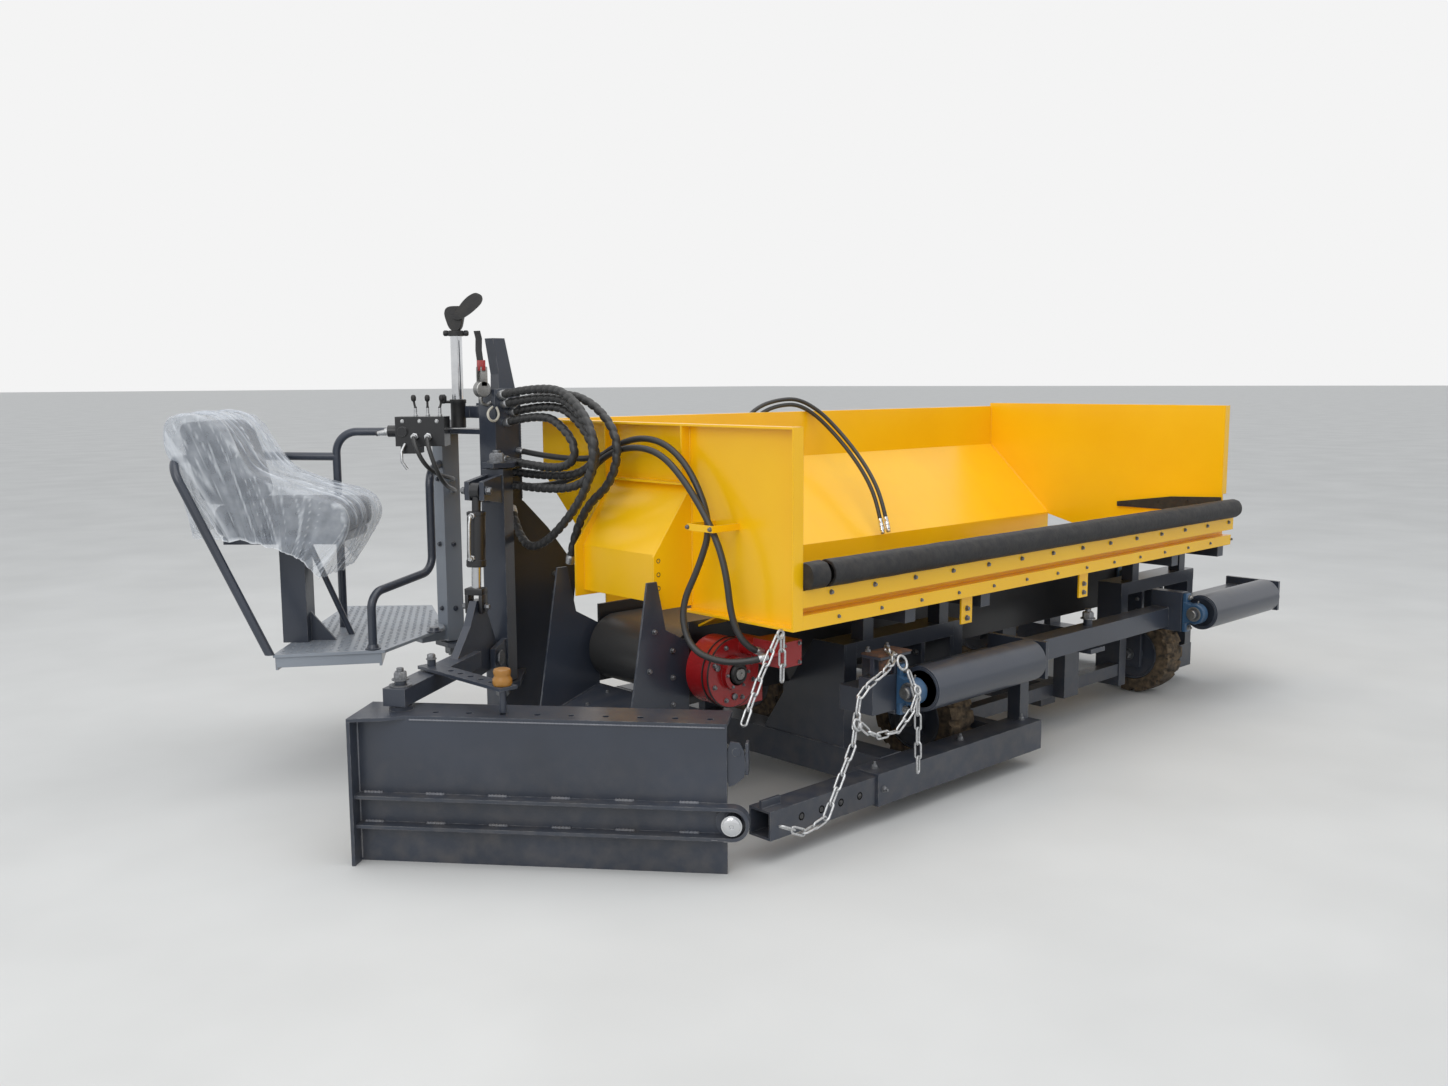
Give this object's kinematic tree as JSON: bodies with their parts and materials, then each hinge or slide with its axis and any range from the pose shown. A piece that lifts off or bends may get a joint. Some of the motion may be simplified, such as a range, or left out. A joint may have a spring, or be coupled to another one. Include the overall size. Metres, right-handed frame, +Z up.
{
  "type": "road widening paver",
  "caption": "Loader-pushed road widener on solid-tyred wheels: side-discharge hopper with cross conveyor, truck push rollers, levelling blade and operator platform.",
  "frame": {"origin": "on the ground under the middle of the machine's box", "axes": "+X along the hopper away from its outlet, +Y from the truck side towards the loader side, +Z up"},
  "size_m": [4.8303, 2.7935, 1.955],
  "materials": {
    "yellow_paint": "gloss enamel",
    "grey_paint": "satin enamel",
    "black_paint": "satin enamel",
    "red_paint": "gloss enamel",
    "blue_paint": "gloss enamel",
    "rubber": "matte",
    "hose_rubber": "satin",
    "tyre": "dusty matte",
    "steel": "zinc plated",
    "chrome": "bright",
    "seat_vinyl": "satin vinyl",
    "film": "clear film",
    "black_plastic": "matte"
  },
  "bodies": {
    "chassis": {"hopper_left_end": "yellow_paint", "hopper_right_end": "yellow_paint", "hopper_rear_wall": "yellow_paint", "hopper_stays": "yellow_paint", "hopper_front_lip": "yellow_paint", "rubber_roll": "rubber", "outlet_hood": "yellow_paint", "conveyor_belt": "rubber", "conveyor_drums": "steel", "conveyor_sides": "black_paint", "base_frame": "grey_paint", "front_sleeve": "grey_paint", "front_rail": "grey_paint", "wheel_portals": "grey_paint", "hopper_saddles": "grey_paint", "wheel_forks": "grey_paint", "wheel_axles": "steel", "drive_gearbox": "red_paint", "discharge_chute": "grey_paint", "mast_frame": "grey_paint", "sensor_post": "chrome", "ratchet_hook": "black_plastic", "hose_bundle": "hose_rubber", "gearbox_hoses": "hose_rubber", "hose_clips": "black_paint", "hopper_chain": "steel", "loader_coupler": "grey_paint", "free_hose_front": "hose_rubber", "free_hose_back": "hose_rubber", "hose_couplings": "chrome"},
    "push_beam": {"push_beam": "grey_paint", "roller_bearings": "blue_paint", "beam_chain": "steel"},
    "push_roller_left": {"push_roller_left": "grey_paint"},
    "push_roller_right": {"push_roller_right": "grey_paint"},
    "side_tube": {"extension_tube": "grey_paint"},
    "swing_post": {"swing_post": "grey_paint"},
    "blade_arm": {"blade_arm": "grey_paint"},
    "blade": {"blade": "grey_paint"},
    "lift_cylinder": {"lift_cylinder": "black_paint"},
    "lift_rod": {"lift_rod": "chrome"},
    "angle_strut": {"angle_strut": "grey_paint"},
    "platform": {"platform_deck": "grey_paint", "platform_rails": "grey_paint", "seat_post": "grey_paint", "seat_cushion": "seat_vinyl", "seat_back": "seat_vinyl", "seat_film": "film", "control_valves": "black_paint", "valve_hoses": "hose_rubber"},
    "wheel_front_left": {"rim_front_left": "grey_paint", "tyre_front_left": "tyre"},
    "wheel_front_right": {"rim_front_right": "grey_paint", "tyre_front_right": "tyre"},
    "wheel_rear_left": {"rim_rear_left": "grey_paint", "tyre_rear_left": "tyre"},
    "wheel_rear_right": {"rim_rear_right": "grey_paint", "tyre_rear_right": "tyre"}
  },
  "joints": [
    {"name": "wheel_front_left_spin", "type": "hinge", "parent": "chassis", "child": "wheel_front_left", "pos_m": [-0.034, -0.901, 0.203], "axis": [1, 0, 0], "continuous": true},
    {"name": "wheel_front_right_spin", "type": "hinge", "parent": "chassis", "child": "wheel_front_right", "pos_m": [1.755, -0.901, 0.203], "axis": [1, 0, 0], "continuous": true},
    {"name": "wheel_rear_left_spin", "type": "hinge", "parent": "chassis", "child": "wheel_rear_left", "pos_m": [-0.034, 0.069, 0.203], "axis": [1, 0, 0], "continuous": true},
    {"name": "wheel_rear_right_spin", "type": "hinge", "parent": "chassis", "child": "wheel_rear_right", "pos_m": [1.755, 0.069, 0.203], "axis": [1, 0, 0], "continuous": true},
    {"name": "push_beam_pivot", "type": "hinge", "parent": "chassis", "child": "push_beam", "pos_m": [0.915, -1.095, 0.432], "axis": [0, 0, 1], "range_deg": [-1.5, 1.5]},
    {"name": "push_roller_left_spin", "type": "hinge", "parent": "push_beam", "child": "push_roller_left", "pos_m": [-0.18, -1.267, 0.462], "axis": [1, 0, 0], "continuous": true},
    {"name": "push_roller_right_spin", "type": "hinge", "parent": "push_beam", "child": "push_roller_right", "pos_m": [2.015, -1.267, 0.462], "axis": [1, 0, 0], "continuous": true},
    {"name": "side_tube_slide", "type": "slide", "parent": "chassis", "child": "side_tube", "axis": [1, 0, 0], "range_m": [0, 0.44]},
    {"name": "blade_swing", "type": "hinge", "parent": "chassis", "child": "swing_post", "pos_m": [-1.405, 0.159, 0.825], "axis": [0, 0, 1], "range_deg": [-20, 0]},
    {"name": "blade_lift", "type": "hinge", "parent": "swing_post", "child": "blade_arm", "pos_m": [-1.50514, 0.09288, 0.52], "axis": [-0.551, 0.8345, 0], "range_deg": [0, 12]},
    {"name": "lift_cylinder_tilt", "type": "hinge", "parent": "swing_post", "child": "lift_cylinder", "pos_m": [-1.5719, 0.0488, 1.18], "axis": [-0.551, 0.8345, 0], "range_deg": [-8, 1]},
    {"name": "lift_rod_slide", "type": "slide", "parent": "lift_cylinder", "child": "lift_rod", "axis": [-0.0568, -0.0375, -0.9977], "range_m": [-0.022, 0.002]},
    {"name": "blade_turn", "type": "hinge", "parent": "blade_arm", "child": "blade", "pos_m": [-2.11557, -0.31019, 0.55], "axis": [0, 0, 1], "range_deg": [-15, 0]},
    {"name": "angle_strut_turn", "type": "hinge", "parent": "blade_arm", "child": "angle_strut", "pos_m": [-1.92239, -0.18263, 0.59], "axis": [0, 0, 1], "range_deg": [-20, 20]},
    {"name": "platform_swing", "type": "hinge", "parent": "chassis", "child": "platform", "pos_m": [-1.321, 0.679, 0.9], "axis": [0, 0, 1], "range_deg": [-80, 0]}
  ],
  "couplings": [
    {"joint": "lift_cylinder_tilt", "follows": "blade_lift", "ratio": -0.53024},
    {"joint": "lift_rod_slide", "follows": "blade_lift", "m_per_rad": -0.089259},
    {"joint": "angle_strut_turn", "follows": "blade_turn", "ratio": 0.69243}
  ]
}
